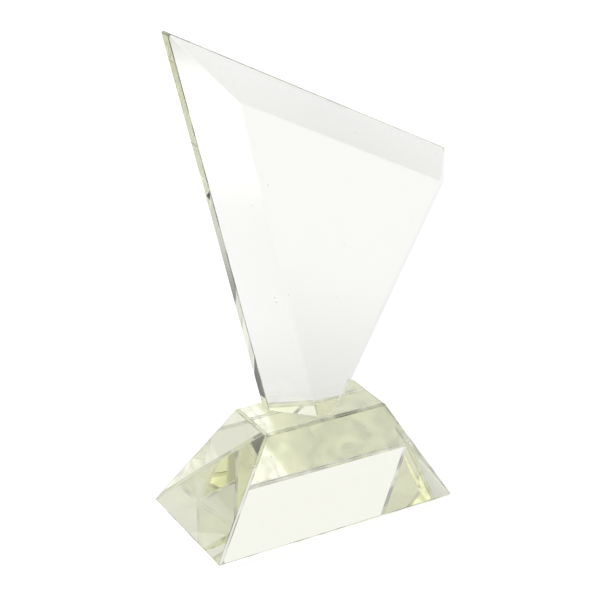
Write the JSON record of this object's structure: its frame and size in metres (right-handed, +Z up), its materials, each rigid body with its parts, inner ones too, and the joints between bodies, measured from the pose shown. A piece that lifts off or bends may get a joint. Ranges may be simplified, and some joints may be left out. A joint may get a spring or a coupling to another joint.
{
  "type": "crystal award",
  "caption": "Free-standing cut-glass award: a leaning sail-shaped blade with wide front bevels, bonded on a truncated-pyramid base.",
  "frame": {"origin": "centre of the base's underside, which the award stands on", "axes": "+Z up; +X along the base's long side, to the right seen from the front; +Y to the back, away from the blade's bevelled front face"},
  "size_m": [0.1415, 0.0598, 0.2262],
  "materials": {
    "crystal": "polished clear glass with a faint yellow-green tint through its thickness",
    "adhesive": "clear cured adhesive"
  },
  "bodies": {
    "root": {"crystal_base": "crystal", "crystal_blade": "crystal", "adhesive_film": "adhesive"}
  },
  "joints": []
}
